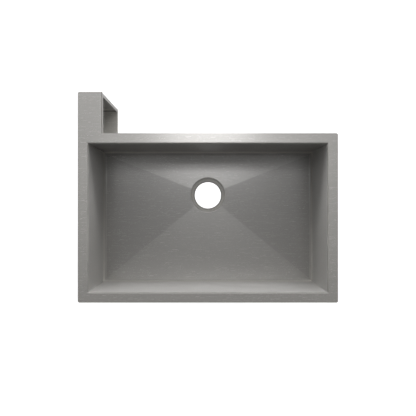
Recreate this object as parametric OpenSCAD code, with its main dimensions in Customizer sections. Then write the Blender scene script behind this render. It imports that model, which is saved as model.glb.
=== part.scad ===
// Undermount kitchen sink folded and welded from stainless steel sheet.
// One large bowl with sharp upright corners, a floor creased in four falls towards a drain that is
// set back, and a rear left flange extension with an open-sided sheet metal pocket under it.
// Millimetres. X runs to the right, Y to the rear and Z up.
// The origin is the centre of the drain hole, half way up its turned-down wall.

/* [Bowl] */
// Length of the bowl's opening from left to right, between the wall faces
bowl_len = 700; // [560:10:860]
// Width of the bowl's opening from front to rear, between the wall faces
bowl_wid = 434; // [370:2:500]
// Depth from the flange's top face to the lowest point that the floor falls to
bowl_depth = 254; // [180:2:270]
// Distance from the rear wall's face to the centre of the drain
drain_setback = 145; // [110:5:190]
// Fall of the floor from its edges to its lowest point
floor_fall = 4; // [3:1:14]
// Inside radius of the bend between a wall and the floor
floor_bend_r = 10; // [5:1:16]

/* [Sheet and flange] */
// Thickness of the steel sheet
sheet = 1.5; // [1.2:0.1:2.0]
// Width of the flange from the wall's face to the flange's outer edge
flange_w = 31; // [30:1:44]
// Radius on the hidden side of the bend between the flange and a wall
rim_bend_r = 3; // [2:0.5:4]
// Radius of the flange's outer corners
corner_r = 5; // [4:0.5:8]

/* [Drain] */
// Diameter of the drain hole
drain_d = 88.9; // [86:0.1:92]
// Height of the straight wall that the hole's edge is turned down into
drain_lip = 4; // [3:0.5:8]
// Radius of the rounded edge between the seat and the hole's wall
drain_edge_r = 2.5; // [2.2:0.1:4]
// Outer diameter of the flat seat round the hole
seat_d = 107; // [101:1:108]
// Diameter at which the pressed recess meets the floor's lowest level
recess_d = 116; // [111:1:120]
// Depth of the seat below the floor's lowest level
recess_depth = 3; // [2:0.5:5]

/* [Rear extension and pocket] */
// Width of the flange extension from left to right
ext_w = 72; // [60:2:100]
// Length of the extension behind the rear flange
ext_len = 121; // [80:5:200]
// Depth from the flange's top face to the pocket's floor
pocket_depth = 292; // [280:2:330]
// Width of the lip folded round the pocket's open side
return_w = 12.7; // [10:0.1:20]
// Inside radius of the bends at the pocket's floor
pocket_bend_r = 10; // [5:1:16]

/* [Sound pads and welds] */
// Thickness of the rubber sound pads
pad_t = 3; // [2:0.5:4]
// Height of the pads on the walls
wall_pad_h = 150; // [80:5:160]
// Distance from the ends of a wall to its pad
wall_pad_inset = 70; // [60:5:120]
// Distance from the flange's top face to the pads on the walls
wall_pad_drop = 40; // [32:2:50]
// Distance from the edge of the floor to its pads
floor_pad_inset = 30; // [20:5:60]
// Distance from the drain's centre to the floor pads
floor_pad_clear = 90; // [80:5:140]
// Radius of the pads' corners
pad_corner_r = 12; // [5:1:20]
// Radius of the weld beads on the outside of the bowl's corners
weld_r = 2; // [1.5:0.1:2.5]

/* [Mounting clips] */
// Diameter of the threaded studs welded under the flange
stud_d = 6; // [5:0.5:8]
// Length of the studs
stud_len = 16; // [14:1:22]
// Distance from a wall's face to the studs on it
stud_inset = 17; // [16:0.5:18]
// Distance from the bowl's corners to the outer studs on the long walls
stud_end = 100; // [80:5:140]
// Width of a clip's strap
clip_w = 20; // [18:1:22]
// Thickness of a clip's strap
clip_t = 2.5; // [2:0.5:4]
// Distance from a clip's pivot to the middle of its slot
clip_reach = 34; // [30:1:45]
// Length of the slot, end to end
slot_len = 12; // [9:1:16]
// Width of the slot, for a screw into the worktop
slot_w = 6; // [4.5:0.5:7]
// Running clearance all round a stud, and above and below a clip
clip_clear = 0.1; // [0.05:0.01:0.1]
// Outer diameter of the washers
washer_d = 14; // [14:1:20]
// Thickness of the washers
washer_t = 1.5; // [1:0.1:2.5]
// Width across the flats of the lock nuts
nut_af = 10; // [9:0.5:13]
// Height of the lock nuts, with their collar
nut_h = 7; // [6:0.5:8]

/* [Hidden] */

steel = "#a3a29d";
rubber = "#2f3133";
zinc = "#b9bcc0";

$fn = 96;

// Levels, from the middle of the drain hole's wall upwards
seat_z = drain_lip / 2 + drain_edge_r;
low_z = seat_z + recess_depth;
edge_z = low_z + floor_fall;
flange_z = low_z + bowl_depth;
pocket_z = flange_z - pocket_depth;

// The recess's sloping side: its run for each millimetre of rise, and a level above the floor there
slope = (recess_d - seat_d) / (2 * recess_depth);
slope_top_z = edge_z + recess_depth;

// Distances in plan from the drain's centre to the faces of the walls
side_run = bowl_len / 2;
rear_run = drain_setback;
front_run = bowl_wid - drain_setback;
mid_y = (rear_run - front_run) / 2;

// Distances in plan from the drain's centre to the edges of the flat floor
side_flat = side_run - floor_bend_r;
rear_flat = rear_run - floor_bend_r;
front_flat = front_run - floor_bend_r;

// Visible radius of the flange's bend, and the heights between which the walls are straight
rim_r = rim_bend_r + sheet;
wall_low_z = edge_z + floor_bend_r;
wall_top_z = flange_z - rim_r;

// Edges of the flange, of the extension and of the pocket
side_edge = side_run + flange_w;
rear_edge = rear_run + flange_w;
front_edge = front_run + flange_w;
ext_right = ext_w - side_edge;
ext_rear = rear_edge + ext_len;
pocket_front = rear_run + sheet;
pocket_low_z = pocket_z + pocket_bend_r;

// Height above which every cut through the floor is clear of it
clear_z = flange_z + 10;

// A clip's place under the flange, and the radius that its end sweeps
clip_top_z = flange_z - sheet - clip_clear;
clip_low_z = clip_top_z - clip_t;
washer_top_z = clip_low_z - clip_clear;
clip_end_r = clip_reach + slot_len / 2 + clip_w / 4;
clip_gap = 6;

// Turn about Z that puts a shape drawn for the rear wall on the named wall
function wall_turn(side) =
    side == "rear" ? 0 : side == "left" ? 90 : side == "front" ? 180 : 270;

// Distance in plan from the drain's centre to the face of the named wall
function wall_run(side) =
    side == "rear" ? rear_run : side == "front" ? front_run : side_run;

// Studs: the wall, and the distance along it from its middle
rear_stud_1 = ext_right + clip_end_r + clip_gap;
rear_stud_3 = side_run - stud_end;
STUDS = [
    ["front", side_run - stud_end],
    ["front", 0],
    ["front", stud_end - side_run],
    ["rear", rear_stud_1],
    ["rear", (rear_stud_1 + rear_stud_3) / 2],
    ["rear", rear_stud_3],
    ["left", -clip_reach / 2],
    ["right", -clip_reach / 2]
];

// Puts a shape drawn about a wall's middle, with +Y outwards from the wall's face, on that wall
module on_wall(side) {
    shift_y = side == "left" || side == "right" ? mid_y : 0;
    translate([0, shift_y, 0])
        rotate([0, 0, wall_turn(side)])
            translate([0, wall_run(side), 0])
                children();
}

// A quarter of a bent sheet's section about its centre, in the quadrant given by the two signs
module quarter_bend(inner_r, sx, sy) {
    outer_r = inner_r + sheet;
    intersection() {
        difference() {
            circle(r = outer_r);
            circle(r = inner_r);
        }
        translate([sx > 0 ? 0 : -outer_r, sy > 0 ? 0 : -outer_r])
            square(outer_r);
    }
}

// A square with its four corners rounded, drawn from its lower left corner
module rounded_plate(size, r) {
    translate([r, 0])
        square([size[0] - 2 * r, size[1]]);
    translate([0, r])
        square([size[0], size[1] - 2 * r]);
    for (x = [r, size[0] - r], y = [r, size[1] - r])
        translate([x, y])
            circle(r = r);
}

// Section of a wall from the edge of the floor to the edge of the flange, with X outwards
module wall_section() {
    translate([-floor_bend_r, wall_low_z])
        quarter_bend(floor_bend_r, 1, -1);
    translate([0, wall_low_z])
        square([sheet, wall_top_z - wall_low_z]);
    translate([rim_r, wall_top_z])
        quarter_bend(rim_bend_r, -1, 1);
    translate([rim_r, flange_z - sheet])
        square([flange_w - rim_r, sheet]);
}

// A folded wall whose ends are mitred at 45 degrees
module mitred_wall(half_len) {
    inside = floor_bend_r + 1;
    outside = flange_w + 1;
    intersection() {
        rotate([90, 0, 90])
            translate([0, 0, -half_len - outside])
                linear_extrude(2 * (half_len + outside))
                    wall_section();
        linear_extrude(clear_z)
            polygon([
                [inside - half_len, -inside],
                [half_len - inside, -inside],
                [half_len + outside, outside],
                [-half_len - outside, outside]
            ]);
    }
}

// Outline of the flange, with three rounded corners and a square one where the extension starts
module flange_outline() {
    translate([-side_edge, -front_edge])
        rounded_plate([2 * side_edge, front_edge + rear_edge], corner_r);
    translate([-side_edge, rear_edge - 2 * corner_r])
        square(2 * corner_r);
}

// A wall trimmed to the flange's outline
module bowl_wall(side, half_len) {
    intersection() {
        on_wall(side)
            mitred_wall(half_len);
        linear_extrude(clear_z)
            flange_outline();
    }
}

// Corners of the flat floor and its lowest point, at a height above its top face
function floor_points(h) = [
    [-side_flat, -front_flat, edge_z + h],
    [side_flat, -front_flat, edge_z + h],
    [side_flat, rear_flat, edge_z + h],
    [-side_flat, rear_flat, edge_z + h],
    [0, 0, low_z + h]
];

// A layer that follows the floor's four falls, between two heights from the floor's top face
module floor_layer(low, high) {
    polyhedron(
        points = concat(floor_points(low), floor_points(high)),
        faces = concat(
            [for (i = [0:3]) [i, (i + 1) % 4, 4]],
            [for (i = [0:3]) [5 + (i + 1) % 4, 5 + i, 9]],
            [for (i = [0:3]) [i, 5 + i, 5 + (i + 1) % 4, (i + 1) % 4]]
        )
    );
}

// Sections of the pressed drain recess, from its axis outwards: what its underside encloses
module recess_outside() {
    hole_r = drain_d / 2;
    foot_r = seat_d / 2 + sheet * (sqrt(1 + slope * slope) - slope);
    translate([0, -drain_lip / 2])
        square([hole_r + sheet, drain_lip]);
    difference() {
        translate([0, drain_lip / 2])
            square([hole_r + drain_edge_r, drain_edge_r]);
        translate([hole_r + drain_edge_r, drain_lip / 2])
            circle(r = drain_edge_r - sheet);
    }
    polygon([
        [0, seat_z - sheet],
        [foot_r, seat_z - sheet],
        [foot_r + slope * (slope_top_z - seat_z + sheet), slope_top_z],
        [0, slope_top_z]
    ]);
}

// And the space inside it: the hole, its rounded edge, and the recess above the seat
module recess_inside() {
    hole_r = drain_d / 2;
    translate([0, -drain_lip])
        square([hole_r, 2 * drain_lip]);
    difference() {
        translate([0, drain_lip / 2])
            square([hole_r + drain_edge_r, drain_edge_r]);
        translate([hole_r + drain_edge_r, drain_lip / 2])
            circle(r = drain_edge_r);
    }
    polygon([
        [0, seat_z],
        [seat_d / 2, seat_z],
        [seat_d / 2 + slope * (slope_top_z - seat_z), slope_top_z],
        [0, slope_top_z]
    ]);
}

module floor_pan() {
    color(steel)
        difference() {
            union() {
                floor_layer(-sheet, 0);
                difference() {
                    rotate_extrude()
                        recess_outside();
                    floor_layer(0, bowl_depth);
                }
            }
            rotate_extrude()
                recess_inside();
        }
}

module front_wall() {
    color(steel)
        bowl_wall("front", side_run);
}

module rear_wall() {
    color(steel)
        bowl_wall("rear", side_run);
}

module left_wall() {
    color(steel)
        bowl_wall("left", bowl_wid / 2);
}

module right_wall() {
    color(steel)
        bowl_wall("right", bowl_wid / 2);
}

// Section of the extension across its width: flat plate, bend and a lip turned down on the right
module extension_section() {
    translate([0, flange_z - sheet])
        square([ext_w - rim_r, sheet]);
    translate([ext_w - rim_r, wall_top_z])
        quarter_bend(rim_bend_r, 1, 1);
    translate([ext_w - sheet, flange_z - return_w])
        square([sheet, return_w - rim_r]);
}

module flange_extension() {
    rear_lip = ext_rear - return_w;
    color(steel)
        difference() {
            intersection() {
                translate([-side_edge, ext_rear, 0])
                    rotate([90, 0, 0])
                        linear_extrude(ext_len)
                            extension_section();
                linear_extrude(clear_z)
                    union() {
                        translate([-side_edge, ext_rear - 4 * corner_r])
                            rounded_plate([ext_w / 2, 4 * corner_r], corner_r);
                        translate([-side_edge, rear_edge])
                            square([ext_w, ext_len - corner_r]);
                        translate([-side_edge + corner_r, rear_edge])
                            square([ext_w, ext_len]);
                    }
            }
            translate([ext_right - rim_r, rear_lip, 0])
                cube([2 * rim_r, return_w + 1, wall_top_z]);
        }
}

// Plan of the folded strip round the pocket: left panel, corner, rear panel, bend and lip
module wrap_plan() {
    translate([-side_edge, pocket_front])
        square([sheet, ext_rear - corner_r - pocket_front]);
    translate([corner_r - side_edge, ext_rear - corner_r])
        quarter_bend(corner_r - sheet, -1, 1);
    translate([corner_r - side_edge, ext_rear - sheet])
        square([ext_w - corner_r - rim_r, sheet]);
    translate([ext_right - rim_r, ext_rear - rim_r])
        quarter_bend(rim_bend_r, 1, 1);
    translate([ext_right - sheet, ext_rear - return_w])
        square([sheet, return_w - rim_r]);
}

// Outline of the left panel's foot, seen from the side, which closes the end of the pocket's floor
// and runs up into the panel above it
module panel_foot() {
    outer_r = pocket_bend_r + sheet;
    length = ext_rear - pocket_front;
    translate([pocket_front + outer_r, pocket_z - sheet])
        square([length - 2 * outer_r, 2 * outer_r]);
    difference() {
        translate([pocket_front, pocket_z - sheet])
            square([length, outer_r]);
        for (side = [0, 1])
            translate([side == 0 ? pocket_front : ext_rear, pocket_z - sheet])
                mirror([side, 0])
                    difference() {
                        square(outer_r);
                        translate([outer_r, outer_r])
                            circle(r = outer_r);
                    }
    }
}

module pocket_wrap() {
    color(steel) {
        difference() {
            translate([0, 0, pocket_low_z])
                linear_extrude(flange_z - sheet - pocket_low_z)
                    wrap_plan();
            translate([ext_right - rim_r, ext_rear - return_w - 1, wall_top_z])
                cube([2 * rim_r, return_w + 2, rim_r]);
        }
        translate([-side_edge, 0, 0])
            rotate([90, 0, 90])
                linear_extrude(sheet)
                    panel_foot();
    }
}

// Section of the pocket's floor from front to rear: front panel, two bends and the floor
module pocket_section() {
    translate([pocket_front, pocket_low_z])
        square([sheet, wall_top_z - pocket_low_z]);
    translate([pocket_front + sheet + pocket_bend_r, pocket_low_z])
        quarter_bend(pocket_bend_r, -1, -1);
    translate([pocket_front + sheet + pocket_bend_r, pocket_z - sheet])
        square([ext_rear - pocket_front - 2 * (sheet + pocket_bend_r), sheet]);
    translate([ext_rear - sheet - pocket_bend_r, pocket_low_z])
        quarter_bend(pocket_bend_r, 1, -1);
}

module pocket_floor() {
    color(steel)
        translate([sheet - side_edge, 0, 0])
            rotate([90, 0, 90])
                linear_extrude(ext_w - sheet)
                    pocket_section();
}

// A bead round an outside corner, with the corner itself in the quadrant behind it
module corner_bead() {
    difference() {
        circle(r = weld_r);
        translate([-2 * weld_r, -2 * weld_r])
            square(2 * weld_r);
    }
}

module corner_welds() {
    corner_x = side_run + sheet;
    corner_front = front_run + sheet;
    corner_rear = rear_run + sheet;
    color(steel)
        translate([0, 0, wall_low_z])
            linear_extrude(wall_top_z - wall_low_z) {
                translate([corner_x, corner_rear])
                    corner_bead();
                translate([corner_x, -corner_front])
                    mirror([0, 1])
                        corner_bead();
                translate([-corner_x, -corner_front])
                    rotate(180)
                        corner_bead();
                // The rear left corner meets the pocket's front panel, so its bead is a fillet
                translate([-corner_x - weld_r, corner_rear - weld_r])
                    difference() {
                        square(weld_r);
                        circle(r = weld_r);
                    }
            }
}

// A pad under the floor, between two distances from the drain's centre along X
module floor_pad(x_low, x_high) {
    len_y = front_flat + rear_flat - 2 * floor_pad_inset;
    color(rubber)
        intersection() {
            floor_layer(-sheet - pad_t, -sheet);
            translate([x_low, floor_pad_inset - front_flat])
                linear_extrude(edge_z)
                    rounded_plate([x_high - x_low, len_y], pad_corner_r);
        }
}

module floor_pad_left() {
    floor_pad(floor_pad_inset - side_flat, -floor_pad_clear);
}

module floor_pad_right() {
    floor_pad(floor_pad_clear, side_flat - floor_pad_inset);
}

// A pad on the outside of a wall, between two distances from the wall's middle
module wall_pad(side, x_low, x_high) {
    color(rubber)
        on_wall(side)
            translate([0, sheet + pad_t, flange_z - wall_pad_drop - wall_pad_h])
                rotate([90, 0, 0])
                    linear_extrude(pad_t)
                        translate([x_low, 0])
                            rounded_plate([x_high - x_low, wall_pad_h], pad_corner_r);
}

module front_pad() {
    wall_pad("front", wall_pad_inset - side_run, side_run - wall_pad_inset);
}

module rear_pad() {
    wall_pad("rear", ext_right + clip_gap, side_run - wall_pad_inset);
}

module left_pad() {
    wall_pad("left", wall_pad_inset - bowl_wid / 2, bowl_wid / 2 - wall_pad_inset);
}

module right_pad() {
    wall_pad("right", wall_pad_inset - bowl_wid / 2, bowl_wid / 2 - wall_pad_inset);
}

// Puts a shape on the axis of one stud, with +Y outwards from the bowl
module at_stud(i) {
    on_wall(STUDS[i][0])
        translate([STUDS[i][1], stud_inset, 0])
            children();
}

module mounting_studs() {
    color(steel)
        for (i = [0:len(STUDS) - 1])
            at_stud(i)
                translate([0, 0, flange_z - sheet - stud_len])
                    cylinder(d = stud_d, h = stud_len);
}

module clip_washers() {
    color(zinc)
        for (i = [0:len(STUDS) - 1])
            at_stud(i)
                translate([0, 0, washer_top_z - washer_t])
                    difference() {
                        cylinder(d = washer_d, h = washer_t);
                        translate([0, 0, -1])
                            cylinder(d = stud_d, h = washer_t + 2);
                    }
}

// A hexagonal nut with the round collar that holds its locking ring
module lock_nuts() {
    collar_h = nut_h / 3;
    color(zinc)
        for (i = [0:len(STUDS) - 1])
            at_stud(i)
                translate([0, 0, washer_top_z - washer_t - nut_h])
                    difference() {
                        union() {
                            translate([0, 0, collar_h])
                                cylinder(d = nut_af / cos(30), h = nut_h - collar_h, $fn = 6);
                            cylinder(d = nut_af - 0.6, h = collar_h);
                        }
                        translate([0, 0, -1])
                            cylinder(d = stud_d, h = nut_h + 2);
                    }
}

// A strap that pivots on its stud at one end and takes a worktop screw in its slot
module clip(i) {
    end_r = clip_w / 2;
    tip_x = clip_end_r - end_r;
    slot_run = (slot_len - slot_w) / 2;
    color(zinc)
        at_stud(i)
            translate([0, 0, clip_low_z])
                linear_extrude(clip_t)
                    difference() {
                        union() {
                            circle(r = end_r);
                            translate([0, -end_r])
                                square([tip_x, clip_w]);
                            translate([tip_x, 0])
                                circle(r = end_r);
                        }
                        circle(r = stud_d / 2 + clip_clear);
                        for (x = [clip_reach - slot_run, clip_reach + slot_run])
                            translate([x, 0])
                                circle(d = slot_w);
                        translate([clip_reach - slot_run, -slot_w / 2])
                            square([2 * slot_run, slot_w]);
                    }
}

module clip_front_1() {
    clip(0);
}

module clip_front_2() {
    clip(1);
}

module clip_front_3() {
    clip(2);
}

module clip_rear_1() {
    clip(3);
}

module clip_rear_2() {
    clip(4);
}

module clip_rear_3() {
    clip(5);
}

module clip_left() {
    clip(6);
}

module clip_right() {
    clip(7);
}

floor_pan();
front_wall();
rear_wall();
left_wall();
right_wall();
flange_extension();
pocket_wrap();
pocket_floor();
corner_welds();
floor_pad_left();
floor_pad_right();
front_pad();
rear_pad();
left_pad();
right_pad();
mounting_studs();
clip_washers();
lock_nuts();
clip_front_1();
clip_front_2();
clip_front_3();
clip_rear_1();
clip_rear_2();
clip_rear_3();
clip_left();
clip_right();
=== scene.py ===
"""Undermount kitchen sink: finishes, welds, fasteners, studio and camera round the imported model."""
import math

import bmesh
import bpy
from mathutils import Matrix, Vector


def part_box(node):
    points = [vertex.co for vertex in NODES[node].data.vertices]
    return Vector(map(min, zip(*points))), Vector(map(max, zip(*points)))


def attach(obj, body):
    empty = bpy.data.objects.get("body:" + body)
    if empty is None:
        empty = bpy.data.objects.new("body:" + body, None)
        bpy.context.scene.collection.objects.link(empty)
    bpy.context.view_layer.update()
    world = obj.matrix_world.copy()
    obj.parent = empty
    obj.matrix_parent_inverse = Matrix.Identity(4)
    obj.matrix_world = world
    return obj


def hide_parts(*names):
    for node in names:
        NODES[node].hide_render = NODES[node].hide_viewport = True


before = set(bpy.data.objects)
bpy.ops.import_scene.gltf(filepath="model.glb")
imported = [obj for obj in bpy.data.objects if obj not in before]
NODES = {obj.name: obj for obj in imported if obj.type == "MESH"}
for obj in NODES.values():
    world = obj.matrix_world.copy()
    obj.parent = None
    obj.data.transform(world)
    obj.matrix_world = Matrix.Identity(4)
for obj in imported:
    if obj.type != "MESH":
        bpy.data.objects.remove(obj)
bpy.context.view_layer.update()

# Lengths are in metres; this is the level of the flange's top face
FLANGE_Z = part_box("front_wall")[1][2]

# Camera as the photograph has it: straight down over the middle of the picture
CAMERA_X = 0.0004
CAMERA_Y = -0.0429
CAMERA_ABOVE_FLANGE = 1.691
CAMERA_REACH = 20.0
LENS_MM = 50.0
SENSOR_MM = 36.0

# Steel is a mix of two lobes, a bright brushed one and a dull one; upright sheet scatters more
BRIGHT_STEEL = (0.5, 0.495, 0.487)
DULL_STEEL = (0.5, 0.488, 0.464)
LEVEL_ROUGH, LEVEL_ROUGH_SPREAD, LEVEL_ANISO = 0.26, 0.016, 0.5
WALL_ROUGH, WALL_ROUGH_SPREAD, WALL_ANISO = 0.5, 0.03, 0.8
DULL_ROUGH, DULL_ROUGH_SPREAD = 0.8, 0.03
LEVEL_DULL_SHARE, WALL_DULL_SHARE = 0.5, 0.3

# A sheet's tilt is the height of its normal, from 0 on a wall to 1 where it lies level
WALL_TILT, LEVEL_TILT = 0.3, 0.7
LEAVES_WALL, REACHES_LEVEL = (0.02, 0.08), (0.98, 0.998)
FALL_TILT, FACING_UP_TILT = 0.95, 0.5
# A face belongs to a side wall where its normal leans further than this to left or right
SIDE_LEAN = 0.7

# Brushing runs along X, and along Y on the side walls, whose tangent needs the small part in Y
BRUSHED_ALONG = (1.0, 0.003, 0.0)
# Scales of its noise in X, Y and Z
LEVEL_STREAKS, WALL_STREAKS = (7.0, 240.0, 240.0), (210.0, 26.0, 210.0)
LEVEL_LINES, WALL_LINES = (12.0, 1700.0, 1700.0), (1700.0, 40.0, 1700.0)
CLOUDS = (3.0, 7.0, 7.0)
STREAK_TONE, CLOUD_TONE = 0.02, 0.012
SWAY_SCALE, SWAY = 30.0, 0.004
# Strength and height of the bumps
LINE_BUMP, STREAK_BUMP = (0.015, 0.0002), (0.02, 0.0004)

# Bends lose some of their brushed shine; across each bend, painted light on its upright part gives way to
# painted shade where it nears level
BEND_DULL_SHARE = 0.9
FOOT_TILTS = (0.6, 0.95)
FOOT_WALL_PAINTED_LIGHT, FOOT_FLOOR_PAINTED_SHADE = 1.2, 0.65
# The rim is the flange with the top of its bends; the flange gets painted light, the top of its bends
# painted shade
RIM_DEPTH = 0.003
RIM_PAINTED_LIGHT, RIM_BEND_PAINTED_SHADE = 1.1, 0.75
# Painted shade and painted light on whole sheets, apart from their bends: the rear wall and the pocket's
# panels are painted darker, the pocket's floor lighter
PAINTED_SHADE_AND_LIGHT = {"rear_wall": 0.68, "pocket_wrap": 0.76, "pocket_floor": 1.7}

# Bowl floor: the painted shade on each fall, as a change of its tone, and how far its shading leans
# with its slope, where a value under 0 leans it the other way
SIDE_FALL_PAINTED_SHADE, REAR_FALL_PAINTED_SHADE, FRONT_FALL_PAINTED_SHADE = -0.20, -0.05, -0.11
SIDE_FALL_LEAN, REAR_FALL_LEAN, FRONT_FALL_LEAN = 1.0, -0.6, 1.0
# Zones of the pressed drain recess, by distance from the drain's axis
LIP_EDGE, EDGE_INSIDE, SEAT_EDGE, RECESS_EDGE = 0.0472, 0.0545, 0.0578, 0.0585
ZONE_BLUR = 0.0005
# Painted light on the seat's upper face, painted shade on the drain hole's lip and on the recess's edge
SEAT_PAINTED_LIGHT, LIP_PAINTED_SHADE, EDGE_PAINTED_SHADE = 1.15, 0.5, 0.82
RECESS_LEAN = 0.1
SEAT_DULL_SHARE = 0.9

# Sprayed undercoat on the bowl's hidden side; it fades out between two depths below the flange
COAT_COLOUR = (0.20, 0.205, 0.21)
COAT_ROUGH = 0.75
COAT_SPECKLES, COAT_BLOTCHES, COAT_WAVES = 900.0, 30.0, 40.0
COAT_SPECKLE_TONE, COAT_BLOTCH_TONE = 0.2, 0.08
COAT_BUMP = (0.6, 0.0008)
COAT_FULL_DEPTH, COAT_END_DEPTH = 0.032, 0.026
COAT_EDGE_WAVE, COAT_EDGE_GRAIN = 0.0015, 0.002
# The coat covers faces that turn at least this much to the outside
COAT_TURN = 0.25
OUTSIDES = {
    "front_wall": (0.0, -1.0, 0.0),
    "rear_wall": (0.0, 1.0, 0.0),
    "left_wall": (-1.0, 0.0, 0.0),
    "right_wall": (1.0, 0.0, 0.0),
    "floor_pan": (0.0, 0.0, -1.0),
}
BARE_SHEETS = ("flange_extension", "pocket_wrap", "pocket_floor")

# Rubber, hardware, nylon and weld: colours, scales of the noises, lowest and highest tone and
# roughness, and strength and height of the bumps
RUBBER_COLOUR = (0.03, 0.032, 0.034)
RUBBER_PEBBLES, RUBBER_DUST = 600.0, 18.0
DUST_NOISE, DUST_TONES = (0.35, 0.75), (0.85, 1.35)
RUBBER_ROUGH, RUBBER_BUMP = (0.62, 0.8), (0.5, 0.0006)
ZINC_COLOUR, ZINC_ROUGH = (0.62, 0.63, 0.65), (0.28, 0.42)
STUD_COLOUR, STUD_ROUGH = (0.55, 0.55, 0.55), (0.25, 0.35)
PLATE_MOTTLES, PLATE_SCRATCHES = 220.0, (900.0, 120.0, 900.0)
PLATE_TONES, PLATE_BUMP = (0.9, 1.06), (0.08, 0.0002)
NYLON_COLOUR, NYLON_CLOUDS = (0.66, 0.69, 0.70), 900.0
NYLON_TONES, NYLON_ROUGH = (0.92, 1.04), (0.35, 0.5)
WELD_STRAW, WELD_BLUE = (0.50, 0.42, 0.30, 1.0), (0.36, 0.38, 0.44, 1.0)
WELD_TINTS, WELD_GRAIN = (40.0, 40.0, 12.0), 700.0
TINT_NOISE = (0.35, 0.65)
WELD_ROUGH, WELD_BUMP = (0.3, 0.45), (0.15, 0.0002)
# Most values of a noise lie between these two
NOISE_LOW, NOISE_HIGH = 0.3, 0.7

# Separate solids of one node stand further apart than this
SOLIDS_APART = 0.03
# Studs: the thread, the pointed free end and the eased welded end
THREAD_PITCH, THREAD_DEPTH = 0.001, 0.0006
THREAD_AROUND, THREAD_ROWS_A_PITCH = 24, 6
POINT_LENGTH, POINT_SLOPE = 0.0009, 0.8
EASED_LENGTH, EASED_SLOPE = 0.0006, 0.5
# Lock nuts: the rolled collar takes a share of the height, and the nylon ring sits in it
NUT_AROUND, RING_AROUND = 72, 48
COLLAR_SHARE = 1 / 3
COLLAR_R, RING_SEAT_R, BORE_R = 0.0047, 0.0040, 0.00302
CHAMFER_R, CHAMFER_MIDDLE_R, BORE_MOUTH_R = 0.0049, 0.0053, 0.0035
# Corner welds: rows up the bead, ripples bowed like crescents, and rounded ends
BEAD_STEP, RIPPLE_PITCH, CRESCENT = 0.00035, 0.0014, 0.0011
BEAD_END = 0.0015
BEAD_END_SHARE = 0.55
BEAD_BODY, BEAD_RIPPLE, FILLET_RIPPLE = 0.90, 0.07, 0.05
# Waves in the bead's thickness: their share of it, and radians to a metre of height
WANDER_SLOW, WANDER_QUICK = (0.03, 410.0), (0.02, 1130.0)
# A bead narrower than this fills a hollow, and the others go round an outside corner
FILLET_WIDTH = 0.003
FILLET_SIDES, FILLET_SWEEP = 8, 90
BEAD_SIDES, BEAD_SWEEP = 12, 270

# New pieces stay sharp at edges that turn by more than this, in degrees
BEAD_SMOOTH, THREAD_SMOOTH, NUT_SMOOTH, RING_SMOOTH = 40, 30, 25, 40

# Softened edges: width on washers, clips and pads, and the least angle of an edge in degrees
WASHER_EDGE, CLIP_EDGE, PAD_EDGE = 0.0002, 0.0004, 0.0007
EDGE_ANGLE, EDGE_SEGMENTS = 35, 3
# Faces that meet at less than this, in degrees, are first merged
PLAIN_ANGLE = 1

# Soft studio glows: degrees round from the rear, degrees up, half width in degrees, strength
GLOWS = (
    (0, 90, 12, 0.1),
    (-45, 60, 22, 0.56),
    (45, 60, 22, 0.56),
    (-26, 38, 26, 2.1),
    (26, 38, 26, 2.1),
    (-35, 14, 26, 1.5),
    (35, 14, 26, 1.5),
    (180, 45, 20, 0.25),
    (130, 40, 20, 0.25),
    (230, 40, 20, 0.25),
)
# The world is white up to the first height of a direction and dark from the second
HORIZON = (0.10, 0.25)
# Softboxes above and behind, all of one size and facing down: name, x, y, radiance
SOFTBOX_SIZE_X, SOFTBOX_SIZE_Y = 0.2, 0.19
SOFTBOX_ABOVE_FLANGE = 2.5
SOFTBOXES = (
    ("softbox_middle", 0.0, 0.585, 2.8),
    ("softbox_left", -0.2, 0.585, 3.8),
    ("softbox_right", 0.2, 0.585, 3.8),
    ("softbox_rear", 0.0, 0.775, 8.0),
    ("softbox_rear_left", -0.2, 0.775, 11.2),
    ("softbox_rear_right", 0.2, 0.775, 11.2),
)
# Strips that reach over the rim to the far walls, gridded but for the last: name, place and aim
# from the point over the drain at the flange's level, size x, size y, radiance, spread in degrees
STRIPS = (
    ("strip_rear", (0.0, 0.40, 0.13), (0.0, -0.289, -0.07), 0.7, 0.04, 0.8, 30),
    ("strip_left", (-0.5, 0.42, 0.2), (0.35, -0.12, -0.04), 0.3, 0.04, 3.5, 24),
    ("strip_right", (0.5, 0.42, 0.2), (-0.35, -0.12, -0.04), 0.3, 0.04, 3.5, 24),
    ("strip_over", (0.0, 0.12, 0.40), (0.0, -0.217, -0.05), 0.76, 0.08, 0.75, 180),
)
# Floor: far below the sink, which hangs by its flange; a glow that lights nothing lifts it to white
FLOOR_DROP, FLOOR_HALF = 0.9, 6.0
FLOOR_COLOUR = (0.85, 0.85, 0.85, 1.0)
FLOOR_LIFT = 0.6


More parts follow.
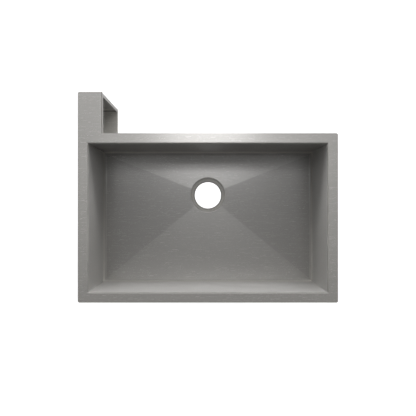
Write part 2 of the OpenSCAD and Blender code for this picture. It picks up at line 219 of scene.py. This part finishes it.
class Graph:
    """Short calls for building a tree of shader nodes."""

    def __init__(self, block):
        """Empties the node tree of a material or world and builds there."""
        block.use_nodes = True
        self.tree = block.node_tree
        self.tree.nodes.clear()

    def add(self, kind, **settings):
        node = self.tree.nodes.new(kind)
        for key, value in settings.items():
            setattr(node, key, value)
        return node

    def link(self, source, target):
        self.tree.links.new(source, target)

    def put(self, socket, value):
        """Sets a socket to a value, or links it where the value is another node's output."""
        if isinstance(value, bpy.types.NodeSocket):
            self.link(value, socket)
        else:
            socket.default_value = value

    def place(self):
        """Each point's place on the object."""
        return self.add("ShaderNodeTexCoord").outputs["Object"]

    def math(self, operation, a, b=0.0):
        node = self.add("ShaderNodeMath", operation=operation)
        self.put(node.inputs[0], a)
        self.put(node.inputs[1], b)
        return node.outputs[0]

    def vector(self, operation, a, b=(0.0, 0.0, 0.0), result="Vector"):
        node = self.add("ShaderNodeVectorMath", operation=operation)
        self.put(node.inputs[0], a)
        self.put(node.inputs[1], b)
        return node.outputs[result]

    def scaled(self, vector, scale):
        return self.vector("MULTIPLY", vector, scale)

    def split(self, vector):
        """The three parts of a vector."""
        node = self.add("ShaderNodeSeparateXYZ")
        self.link(vector, node.inputs[0])
        return node.outputs

    def noise(self, place, scale, detail=2.0, roughness=0.5, result="Fac"):
        """Noise at one scale, or at a scale for each axis."""
        scales = scale if isinstance(scale, tuple) else (scale, scale, scale)
        node = self.add("ShaderNodeTexNoise")
        self.link(self.scaled(place, scales), node.inputs["Vector"])
        node.inputs["Scale"].default_value = 1.0
        node.inputs["Detail"].default_value = detail
        node.inputs["Roughness"].default_value = roughness
        return node.outputs[result]

    def spread(self, value, low_in, high_in, low_out, high_out):
        """Carries one range of values over to another, and stops at its ends."""
        node = self.add("ShaderNodeMapRange")
        self.put(node.inputs["Value"], value)
        node.inputs["From Min"].default_value = low_in
        node.inputs["From Max"].default_value = high_in
        node.inputs["To Min"].default_value = low_out
        node.inputs["To Max"].default_value = high_out
        return node.outputs["Result"]

    def vary(self, noise, low, high):
        """A noise as a value between low and high."""
        return self.spread(noise, NOISE_LOW, NOISE_HIGH, low, high)

    def within(self, distance, edge):
        """1 nearer than the edge and 0 beyond it, with a little blur."""
        return self.spread(distance, edge - ZONE_BLUR, edge + ZONE_BLUR, 1.0, 0.0)

    def mix(self, factor, a, b):
        node = self.add("ShaderNodeMix", data_type="FLOAT")
        self.put(node.inputs[0], factor)
        self.put(node.inputs[2], a)
        self.put(node.inputs[3], b)
        return node.outputs[0]

    def mix_colour(self, factor, a, b):
        node = self.add("ShaderNodeMix", data_type="RGBA")
        self.put(node.inputs[0], factor)
        self.put(node.inputs[6], a)
        self.put(node.inputs[7], b)
        return node.outputs[2]

    def mix_shader(self, factor, a, b):
        node = self.add("ShaderNodeMixShader")
        self.put(node.inputs[0], factor)
        self.link(a, node.inputs[1])
        self.link(b, node.inputs[2])
        return node.outputs[0]

    def bump(self, height, strength, distance, normal=None):
        node = self.add("ShaderNodeBump")
        node.inputs["Strength"].default_value = strength
        node.inputs["Distance"].default_value = distance
        self.put(node.inputs["Height"], height)
        if normal is not None:
            self.link(normal, node.inputs["Normal"])
        return node.outputs["Normal"]

    def principled(self, colour, roughness, normal, metallic=0.0):
        shader = self.add("ShaderNodeBsdfPrincipled")
        shader.inputs["Metallic"].default_value = metallic
        self.link(colour, shader.inputs["Base Color"])
        self.put(shader.inputs["Roughness"], roughness)
        if normal is not None:
            self.link(normal, shader.inputs["Normal"])
        return shader

    def show(self, shader, kind="ShaderNodeOutputMaterial"):
        """Ends the tree with a shader on the surface."""
        out = self.add(kind)
        self.link(shader, out.inputs["Surface"])


def brushed_steel(node):
    """A sheet's steel, brushed from left to right, or along the side walls, with the node's finishes and
    painted light and shade.
    """
    material = bpy.data.materials.new("steel_" + node)
    g = Graph(material)
    place = g.place()
    normal = g.add("ShaderNodeNewGeometry").outputs["Normal"]
    turned_x, _, turned_z = g.split(normal)
    tilt = g.math("ABSOLUTE", turned_z)
    streaks, lines, tone = brushing(g, place, turned_x)
    rim = g.math("GREATER_THAN", g.split(place)[2], FLANGE_Z - RIM_DEPTH)
    # Painted shade or painted light for the whole sheet, and painted light on the flange
    sheet_painted_light_and_shade = g.mix(rim, PAINTED_SHADE_AND_LIGHT.get(node, 1.0), RIM_PAINTED_LIGHT)
    off_wall = g.spread(tilt, *LEAVES_WALL, 0.0, 1.0)
    bent = g.math("MULTIPLY", off_wall, g.spread(tilt, *REACHES_LEVEL, 1.0, 0.0))
    if node == "floor_pan":
        tone = g.math("MULTIPLY", tone, sheet_painted_light_and_shade)
        tone, shading_normal, level_share = floor_painted_light_shade_and_finish(g, place, normal, tone)
    else:
        # Painted light on the upright part of a bend and painted shade on its level part; painted shade
        # on the rim's bends
        foot_painted_light_and_shade = g.spread(tilt, *FOOT_TILTS, FOOT_WALL_PAINTED_LIGHT, FOOT_FLOOR_PAINTED_SHADE)
        bend_painted_light_and_shade = g.mix(rim, foot_painted_light_and_shade, RIM_BEND_PAINTED_SHADE)
        tone = g.math("MULTIPLY", tone, g.mix(bent, sheet_painted_light_and_shade, bend_painted_light_and_shade))
        shading_normal = None
        level_share = g.mix(bent, LEVEL_DULL_SHARE, BEND_DULL_SHARE)
    wall_share = g.mix(bent, WALL_DULL_SHARE, BEND_DULL_SHARE)
    relief = g.bump(streaks, *STREAK_BUMP, g.bump(lines, *LINE_BUMP, shading_normal))
    # Highlights spread across the brushing
    tangent = g.vector("CROSS_PRODUCT", normal, BRUSHED_ALONG)

    def lobe(colour, rough, rough_spread, aniso=0.0):
        roughness = g.vary(lines, rough - rough_spread, rough + rough_spread)
        shader = g.principled(g.scaled(tone, colour), roughness, relief, metallic=1.0)
        if aniso:
            shader.inputs["Anisotropic"].default_value = aniso
            g.link(tangent, shader.inputs["Tangent"])
        return shader.outputs[0]

    dull = lobe(DULL_STEEL, DULL_ROUGH, DULL_ROUGH_SPREAD)
    level_bright = lobe(BRIGHT_STEEL, LEVEL_ROUGH, LEVEL_ROUGH_SPREAD, LEVEL_ANISO)
    wall_bright = lobe(BRIGHT_STEEL, WALL_ROUGH, WALL_ROUGH_SPREAD, WALL_ANISO)
    level_steel = g.mix_shader(level_share, level_bright, dull)
    wall_steel = g.mix_shader(wall_share, wall_bright, dull)
    steel = g.mix_shader(g.spread(tilt, WALL_TILT, LEVEL_TILT, 1.0, 0.0), level_steel, wall_steel)
    if node in OUTSIDES:
        steel = with_undercoat(g, steel, place, normal, OUTSIDES[node])
    g.show(steel)
    return material


def brushing(g, place, turned_x):
    """Broad streaks, fine lines and the tone that they give; on level sheet they are slightly wavy."""
    sway = g.noise(place, SWAY_SCALE, detail=1.0, result="Color")
    offset = g.scaled(g.vector("SUBTRACT", sway, (0.5, 0.5, 0.5)), (0.0, SWAY, SWAY))
    wavy = g.vector("ADD", place, offset)
    sideways = g.math("GREATER_THAN", g.math("ABSOLUTE", turned_x), SIDE_LEAN)
    streaks = g.mix(sideways, g.noise(wavy, LEVEL_STREAKS), g.noise(place, WALL_STREAKS))
    lines = g.mix(sideways, g.noise(wavy, LEVEL_LINES), g.noise(place, WALL_LINES))
    streak_tone = g.vary(streaks, 1.0 - STREAK_TONE, 1.0 + STREAK_TONE)
    tone = g.math("ADD", streak_tone, g.vary(g.noise(place, CLOUDS), -CLOUD_TONE, CLOUD_TONE))
    return streaks, lines, tone


def floor_painted_light_shade_and_finish(g, place, normal, tone):
    """Tone of the bowl's floor with its painted light and shade, its shading normal and dull share, where
    the drain's seat is pressed matt.
    """
    turned_x, turned_y, turned_z = g.split(normal)
    side = g.math("GREATER_THAN", g.math("ABSOLUTE", turned_x), g.math("ABSOLUTE", turned_y))
    lengthways = g.math("SUBTRACT", 1.0, side)
    rear = g.math("MULTIPLY", lengthways, g.math("LESS_THAN", turned_y, 0.0))
    front = g.math("SUBTRACT", lengthways, rear)

    def by_fall(at_side, at_rear, at_front):
        total = g.math("ADD", g.math("MULTIPLY", side, at_side), g.math("MULTIPLY", rear, at_rear))
        return g.math("ADD", total, g.math("MULTIPLY", front, at_front))

    # The drain's axis is the frame's upright axis
    radius = g.vector("LENGTH", g.scaled(place, (1.0, 1.0, 0.0)), result="Value")
    seat = g.within(radius, SEAT_EDGE)
    lip = g.within(radius, LIP_EDGE)
    edge = g.math("MULTIPLY", seat, g.math("SUBTRACT", 1.0, g.within(radius, EDGE_INSIDE)))
    pressed = g.spread(radius, RECESS_EDGE, RECESS_EDGE + ZONE_BLUR, 1.0, 0.0)
    nearly_level = g.math("GREATER_THAN", turned_z, FALL_TILT)
    facing_up = g.math("GREATER_THAN", turned_z, FACING_UP_TILT)
    on_falls = g.math("MULTIPLY", nearly_level, g.math("SUBTRACT", 1.0, pressed))

    # Painted shade on the floor's falls, darker on the sides than at front and rear
    fall_painted_shade = by_fall(SIDE_FALL_PAINTED_SHADE, REAR_FALL_PAINTED_SHADE, FRONT_FALL_PAINTED_SHADE)
    tone = g.math("MULTIPLY", tone, g.math("ADD", 1.0, g.math("MULTIPLY", fall_painted_shade, on_falls)))
    # Painted light on the seat and painted shade on the lip and the recess's edge
    tone = g.math("MULTIPLY", tone, g.mix(g.math("MULTIPLY", seat, facing_up), 1.0, SEAT_PAINTED_LIGHT))
    tone = g.math("MULTIPLY", tone, g.mix(lip, 1.0, LIP_PAINTED_SHADE))
    tone = g.math("MULTIPLY", tone, g.mix(edge, 1.0, EDGE_PAINTED_SHADE))

    lean = g.mix(on_falls, 1.0, by_fall(SIDE_FALL_LEAN, REAR_FALL_LEAN, FRONT_FALL_LEAN))
    lean = g.mix(g.math("MULTIPLY", pressed, facing_up), lean, RECESS_LEAN)
    stretch = g.add("ShaderNodeCombineXYZ")
    g.link(lean, stretch.inputs[0])
    g.link(lean, stretch.inputs[1])
    stretch.inputs[2].default_value = 1.0
    shading_normal = g.vector("NORMALIZE", g.vector("MULTIPLY", normal, stretch.outputs[0]))
    return tone, shading_normal, g.mix(seat, LEVEL_DULL_SHARE, SEAT_DULL_SHARE)


def with_undercoat(g, steel, place, normal, outside):
    """Adds the sprayed undercoat on the sheet's hidden side, which faces the outside direction."""
    speckle = g.noise(place, COAT_SPECKLES, detail=3.0, roughness=0.7)
    speckle_tone = g.vary(speckle, 1.0 - COAT_SPECKLE_TONE, 1.0 + COAT_SPECKLE_TONE)
    blotch_tone = g.vary(g.noise(place, COAT_BLOTCHES), -COAT_BLOTCH_TONE, COAT_BLOTCH_TONE)
    colour = g.scaled(g.math("ADD", speckle_tone, blotch_tone), COAT_COLOUR)
    coat = g.principled(colour, COAT_ROUGH, g.bump(speckle, *COAT_BUMP))
    turned = g.math("GREATER_THAN", g.vector("DOT_PRODUCT", normal, outside, result="Value"), COAT_TURN)
    wave = g.vary(g.noise(place, COAT_WAVES, detail=3.0), -COAT_EDGE_WAVE, COAT_EDGE_WAVE)
    uneven = g.math("ADD", wave, g.vary(speckle, -COAT_EDGE_GRAIN, COAT_EDGE_GRAIN))
    level = g.math("ADD", g.split(place)[2], uneven)
    below = g.spread(level, FLANGE_Z - COAT_FULL_DEPTH, FLANGE_Z - COAT_END_DEPTH, 1.0, 0.0)
    return g.mix_shader(g.math("MULTIPLY", turned, below), steel, coat.outputs[0])


def sound_pad_rubber():
    """Black bitumen rubber with a fine pebbled face and some dust."""
    material = bpy.data.materials.new("sound_pad_rubber")
    g = Graph(material)
    place = g.place()
    pebble = g.noise(place, RUBBER_PEBBLES)
    dust = g.noise(place, RUBBER_DUST, detail=4.0, roughness=0.65)
    colour = g.scaled(g.spread(dust, *DUST_NOISE, *DUST_TONES), RUBBER_COLOUR)
    relief = g.bump(pebble, *RUBBER_BUMP)
    g.show(g.principled(colour, g.vary(pebble, *RUBBER_ROUGH), relief).outputs[0])
    return material


def plated(name, base, rough):
    """Zinc-plated or bright hardware with a faint mottled tone."""
    material = bpy.data.materials.new(name)
    g = Graph(material)
    place = g.place()
    mottle = g.noise(place, PLATE_MOTTLES, detail=3.0)
    scratch = g.noise(place, PLATE_SCRATCHES)
    colour = g.scaled(g.vary(mottle, *PLATE_TONES), base)
    relief = g.bump(scratch, *PLATE_BUMP)
    g.show(g.principled(colour, g.vary(mottle, *rough), relief, metallic=1.0).outputs[0])
    return material


def nylon():
    """Natural nylon of the locking rings, a little cloudy."""
    material = bpy.data.materials.new("nylon")
    g = Graph(material)
    cloud = g.noise(g.place(), NYLON_CLOUDS)
    colour = g.scaled(g.vary(cloud, *NYLON_TONES), NYLON_COLOUR)
    shader = g.principled(colour, g.vary(cloud, *NYLON_ROUGH), None)
    shader.inputs["Subsurface Weight"].default_value = 0.1
    shader.inputs["Subsurface Radius"].default_value = (0.001, 0.001, 0.001)
    g.show(shader.outputs[0])
    return material


def weld_metal():
    """Tungsten-arc weld with straw and blue heat tint."""
    material = bpy.data.materials.new("weld_metal")
    g = Graph(material)
    place = g.place()
    tint = g.noise(place, WELD_TINTS)
    grain = g.noise(place, WELD_GRAIN)
    colour = g.mix_colour(g.spread(tint, *TINT_NOISE, 0.0, 1.0), WELD_STRAW, WELD_BLUE)
    relief = g.bump(grain, *WELD_BUMP)
    g.show(g.principled(colour, g.vary(grain, *WELD_ROUGH), relief, metallic=1.0).outputs[0])
    return material


def dress(node, material):
    """Gives a CAD node a material in place of its own."""
    mesh = NODES[node].data
    if not mesh.materials:
        mesh.materials.append(material)
    for i in range(len(mesh.materials)):
        mesh.materials[i] = material


def soften_edges(node, width):
    """Rounds a CAD node's edges with modifiers, which leave its mesh as it is."""
    piece = NODES[node]
    merge = piece.modifiers.new("plain_faces", "DECIMATE")
    merge.decimate_type = "DISSOLVE"
    merge.angle_limit = math.radians(PLAIN_ANGLE)
    bevel = piece.modifiers.new("soft_edges", "BEVEL")
    bevel.width = width
    bevel.segments = EDGE_SEGMENTS
    bevel.limit_method = "ANGLE"
    bevel.angle_limit = math.radians(EDGE_ANGLE)
    bevel.miter_outer = "MITER_ARC"
    shading = piece.modifiers.new("shading", "WEIGHTED_NORMAL")
    shading.keep_sharp = False


def separate_solids(node):
    """Lowest and highest corners of each of a node's separate solids."""
    found = []
    for vertex in NODES[node].data.vertices:
        p = vertex.co
        for low, high in found:
            if abs(p.x - low[0]) < SOLIDS_APART and abs(p.y - low[1]) < SOLIDS_APART:
                for axis in range(3):
                    low[axis] = min(low[axis], p[axis])
                    high[axis] = max(high[axis], p[axis])
                break
        else:
            found.append((list(p), list(p)))
    return found


def middle(low, high):
    """The upright axis of a solid between two corners."""
    return (low[0] + high[0]) / 2, (low[1] + high[1]) / 2


def new_piece(name, bm, material, smooth_under, replaced=None):
    """A mesh object that rides on the sink, smooth but for edges sharper than an angle in degrees."""
    mesh = bpy.data.meshes.new(name)
    bmesh.ops.recalc_face_normals(bm, faces=bm.faces)
    bm.to_mesh(mesh)
    bm.free()
    mesh.shade_smooth()
    mesh.set_sharp_from_angle(angle=math.radians(smooth_under))
    mesh.materials.append(material)
    piece = bpy.data.objects.new(name, mesh)
    bpy.context.scene.collection.objects.link(piece)
    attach(piece, "sink")
    if replaced:
        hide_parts(replaced)


def join_rings(bm, rings, round_about=False):
    """Joins rings of points into a closed skin, whose ends are capped, or meet if it goes round about."""
    rows = [[bm.verts.new(p) for p in ring] for ring in rings]
    if round_about:
        rows.append(rows[0])
    count = len(rows[0])
    for lower, upper in zip(rows, rows[1:]):
        for i in range(count):
            j = (i + 1) % count
            bm.faces.new((lower[i], lower[j], upper[j], upper[i]))
    if not round_about:
        bm.faces.new(rows[0][::-1])
        bm.faces.new(rows[-1])


def level_ring(x, y, z, radius, count):
    """A level ring of points; radius is a number or a function of the angle."""
    ring = []
    for i in range(count):
        angle = 2 * math.pi * i / count
        r = radius(angle) if callable(radius) else radius
        ring.append((x + r * math.cos(angle), y + r * math.sin(angle), z))
    return ring


def threaded_studs():
    """Fully threaded studs with a pointed free end, in place of the plain CAD cylinders."""
    bm = bmesh.new()
    for low, high in separate_solids("mounting_studs"):
        x, y = middle(low, high)
        crest = (high[0] - low[0]) / 2
        length = high[2] - low[2]
        count = round(length / THREAD_PITCH * THREAD_ROWS_A_PITCH)
        rings = []
        for k in range(count + 1):
            along = length * k / count
            point = max(0.0, POINT_LENGTH - along)
            eased = max(0.0, along - (length - EASED_LENGTH))

            def radius(angle):
                phase = (along / THREAD_PITCH - angle / (2 * math.pi)) % 1.0
                cut = THREAD_DEPTH * abs(2 * phase - 1)
                return min(crest - cut, crest - point * POINT_SLOPE, crest - eased * EASED_SLOPE)

            rings.append(level_ring(x, y, low[2] + along, radius, THREAD_AROUND))
        join_rings(bm, rings)
    return bm


def nut_bodies():
    """Hexagonal lock nuts with chamfered corners and a rolled collar, in place of the CAD nuts."""
    bm = bmesh.new()
    for low, high in separate_solids("lock_nuts"):
        x, y = middle(low, high)
        height = high[2] - low[2]
        span_x, span_y = high[0] - low[0], high[1] - low[1]
        flat, corner = min(span_x, span_y) / 2, max(span_x, span_y) / 2
        turn = 0.0 if span_x > span_y else math.pi / 6
        collar = height * COLLAR_SHARE

        def hexagon(limit):
            def radius(angle):
                local = (angle - turn) % (math.pi / 3) - math.pi / 6
                return min(flat / math.cos(local), limit)

            return radius

        # Heights above the collar's free edge with the radius at each, from the ring's seat outwards
        outline = (
            (0.0003, RING_SEAT_R),
            (0.0, RING_SEAT_R + 0.00025),
            (0.0, COLLAR_R - 0.00025),
            (0.0002, COLLAR_R - 0.00005),
            (0.0005, COLLAR_R),
            (collar - 0.0004, COLLAR_R),
            (collar - 0.0001, COLLAR_R + 0.0001),
            (collar, hexagon(CHAMFER_R)),
            (collar + 0.0003, hexagon(CHAMFER_MIDDLE_R)),
            (collar + 0.0007, hexagon(corner)),
            (height - 0.0006, hexagon(corner)),
            (height - 0.0002, hexagon(CHAMFER_MIDDLE_R)),
            (height, hexagon(CHAMFER_R)),
            (height, BORE_MOUTH_R),
            (height - 0.0003, BORE_R),
            (collar, BORE_R),
            (collar, RING_SEAT_R),
        )
        rings = [level_ring(x, y, low[2] + z, radius, NUT_AROUND) for z, radius in outline]
        join_rings(bm, rings, round_about=True)
    return bm


def nylon_rings():
    """The locking ring held in each nut's collar."""
    bm = bmesh.new()
    for low, high in separate_solids("lock_nuts"):
        x, y = middle(low, high)
        top = (high[2] - low[2]) * COLLAR_SHARE
        # Heights above the collar's free edge with the radius at each; the inner edge is rounded
        outline = (
            (top, BORE_R),
            (0.0006, BORE_R),
            (0.00035, BORE_R + 0.00018),
            (0.0003, BORE_R + 0.00058),
            (0.0004, RING_SEAT_R - 0.00005),
            (top, RING_SEAT_R - 0.00002),
        )
        rings = [level_ring(x, y, low[2] + z, radius, RING_AROUND) for z, radius in outline]
        join_rings(bm, rings, round_about=True)
    return bm


def fan(start, sweep, sides):
    """Angles over a sweep, both in degrees, in equal steps."""
    return [math.radians(start + sweep * i / sides) for i in range(sides + 1)]


def weld_beads():
    """Rippled beads up the bowl's four outside corners, in place of the plain CAD beads."""
    bm = bmesh.new()
    for low, high in separate_solids("corner_welds"):
        width = high[0] - low[0]
        fillet = width < FILLET_WIDTH
        if fillet:
            # In the hollow between the left wall and the pocket's front panel
            full = width
            centre, corner = (low[0], low[1]), (high[0], high[1])
            angles = fan(FILLET_SWEEP, -FILLET_SWEEP, FILLET_SIDES)
        else:
            full = width / 2
            centre = corner = (low[0] + full, low[1] + full)
            turn = math.degrees(math.atan2(1 if low[1] > 0 else -1, -1 if high[0] < 0 else 1))
            angles = fan(turn - BEAD_SWEEP / 2, BEAD_SWEEP, BEAD_SIDES)
        length = high[2] - low[2]
        count = round(length / BEAD_STEP)
        rings = []
        for k in range(count + 1):
            z = length * k / count
            from_end = min(1.0, min(z, length - z) / BEAD_END)
            swell = math.sqrt(max(0.0, 1 - (1 - from_end) ** 2))
            wander = (WANDER_SLOW[0] * math.sin(z * WANDER_SLOW[1] + 3 * centre[0])
                      + WANDER_QUICK[0] * math.sin(z * WANDER_QUICK[1]))
            ring = []
            for i, angle in enumerate(angles):
                across = 2 * i / (len(angles) - 1) - 1
                ripple = abs(math.sin(math.pi * (z + CRESCENT * across * across) / RIPPLE_PITCH))
                if fillet:
                    r = full * (1.0 - FILLET_RIPPLE * ripple * swell)
                else:
                    body = BEAD_BODY + BEAD_RIPPLE * ripple + wander
                    r = full * body * (BEAD_END_SHARE + (1 - BEAD_END_SHARE) * swell)
                x, y = centre[0] + r * math.cos(angle), centre[1] + r * math.sin(angle)
                ring.append((x, y, low[2] + z))
            ring.append((*corner, low[2] + z))
            rings.append(ring)
        join_rings(bm, rings)
    return bm


def set_camera():
    data = bpy.data.cameras.new("camera")
    data.lens = LENS_MM
    data.sensor_width = SENSOR_MM
    data.clip_end = CAMERA_REACH
    camera = bpy.data.objects.new("camera", data)
    camera.location = (CAMERA_X, CAMERA_Y, FLANGE_Z + CAMERA_ABOVE_FLANGE)
    bpy.context.scene.collection.objects.link(camera)
    bpy.context.scene.camera = camera


def area_light(name, location, size_x, size_y, radiance):
    """A rectangular light that faces straight down; its face has a given radiance, whatever its size."""
    data = bpy.data.lights.new(name, "AREA")
    data.shape = "RECTANGLE"
    data.size = size_x
    data.size_y = size_y
    data.energy = radiance * math.pi * size_x * size_y
    light = bpy.data.objects.new(name, data)
    light.location = location
    bpy.context.scene.collection.objects.link(light)
    return light


def set_lights():
    for name, x, y, radiance in SOFTBOXES:
        location = (x, y, FLANGE_Z + SOFTBOX_ABOVE_FLANGE)
        area_light(name, location, SOFTBOX_SIZE_X, SOFTBOX_SIZE_Y, radiance)
    rim = Vector((0.0, 0.0, FLANGE_Z))
    for name, place, aim, size_x, size_y, radiance, spread in STRIPS:
        location = rim + Vector(place)
        strip = area_light(name, location, size_x, size_y, radiance)
        strip.rotation_euler = (rim + Vector(aim) - location).to_track_quat("-Z", "Y").to_euler()
        strip.data.spread = math.radians(spread)
        strip.visible_camera = False


def toward(azimuth, elevation):
    """Direction of a glow; azimuth 0 is the rear and 90 the right."""
    turn, up = math.radians(azimuth), math.radians(elevation)
    return (math.cos(up) * math.sin(turn), math.cos(up) * math.cos(turn), math.sin(up))


def set_world():
    """A studio that is dark overhead and white at the horizon, with soft glows round about."""
    world = bpy.data.worlds.new("studio")
    g = Graph(world)
    direction = g.vector("NORMALIZE", g.add("ShaderNodeTexCoord").outputs["Generated"])
    light = g.spread(g.split(direction)[2], *HORIZON, 1.0, 0.0)
    for azimuth, elevation, width, strength in GLOWS:
        tightness = 1.0 / (1.0 - math.cos(math.radians(width)))
        near = g.vector("DOT_PRODUCT", direction, toward(azimuth, elevation), result="Value")
        fall_off = g.math("MULTIPLY", g.math("SUBTRACT", near, 1.0), tightness)
        light = g.math("ADD", light, g.math("MULTIPLY", g.math("EXPONENT", fall_off), strength))
    back = g.add("ShaderNodeBackground")
    g.link(light, back.inputs["Strength"])
    g.show(back.outputs[0], "ShaderNodeOutputWorld")
    bpy.context.scene.world = world


def set_floor():
    """A pale floor whose glow only the camera, reflections and clear parts see."""
    z = FLANGE_Z - FLOOR_DROP
    mesh = bpy.data.meshes.new("floor")
    corners = [(x * FLOOR_HALF, y * FLOOR_HALF, z) for x, y in ((-1, -1), (1, -1), (1, 1), (-1, 1))]
    mesh.from_pydata(corners, [], [(0, 1, 2, 3)])
    floor = bpy.data.objects.new("floor", mesh)
    bpy.context.scene.collection.objects.link(floor)
    material = bpy.data.materials.new("white_floor")
    g = Graph(material)
    matte = g.add("ShaderNodeBsdfDiffuse")
    matte.inputs[0].default_value = FLOOR_COLOUR
    glow = g.add("ShaderNodeEmission")
    rays = g.add("ShaderNodeLightPath").outputs
    seen = g.math("MAXIMUM", rays["Is Camera Ray"], rays["Is Glossy Ray"])
    seen = g.math("MAXIMUM", seen, rays["Is Transmission Ray"])
    g.link(g.math("MULTIPLY", seen, FLOOR_LIFT), glow.inputs["Strength"])
    both = g.add("ShaderNodeAddShader")
    g.link(matte.outputs[0], both.inputs[0])
    g.link(glow.outputs[0], both.inputs[1])
    g.show(both.outputs[0])
    mesh.materials.append(material)


def dress_sheets():
    for node in (*OUTSIDES, *BARE_SHEETS):
        dress(node, brushed_steel(node))


def dress_pads():
    rubber = sound_pad_rubber()
    for node in NODES:
        if "pad" in node:
            dress(node, rubber)
            soften_edges(node, PAD_EDGE)


def dress_hardware():
    """Welds, studs and nuts get new meshes; clips and washers keep theirs."""
    zinc = plated("zinc_plate", ZINC_COLOUR, ZINC_ROUGH)
    bright = plated("bright_stud", STUD_COLOUR, STUD_ROUGH)
    new_piece("weld_beads", weld_beads(), weld_metal(), BEAD_SMOOTH, "corner_welds")
    new_piece("stud_threads", threaded_studs(), bright, THREAD_SMOOTH, "mounting_studs")
    new_piece("nut_bodies", nut_bodies(), zinc, NUT_SMOOTH, "lock_nuts")
    new_piece("nut_rings", nylon_rings(), nylon(), RING_SMOOTH)
    for node in NODES:
        if node.startswith("clip"):
            dress(node, zinc)
            soften_edges(node, WASHER_EDGE if node == "clip_washers" else CLIP_EDGE)


set_camera()
set_world()
set_lights()
set_floor()
dress_sheets()
dress_pads()
dress_hardware()

bpy.context.scene.view_settings.view_transform = "Standard"
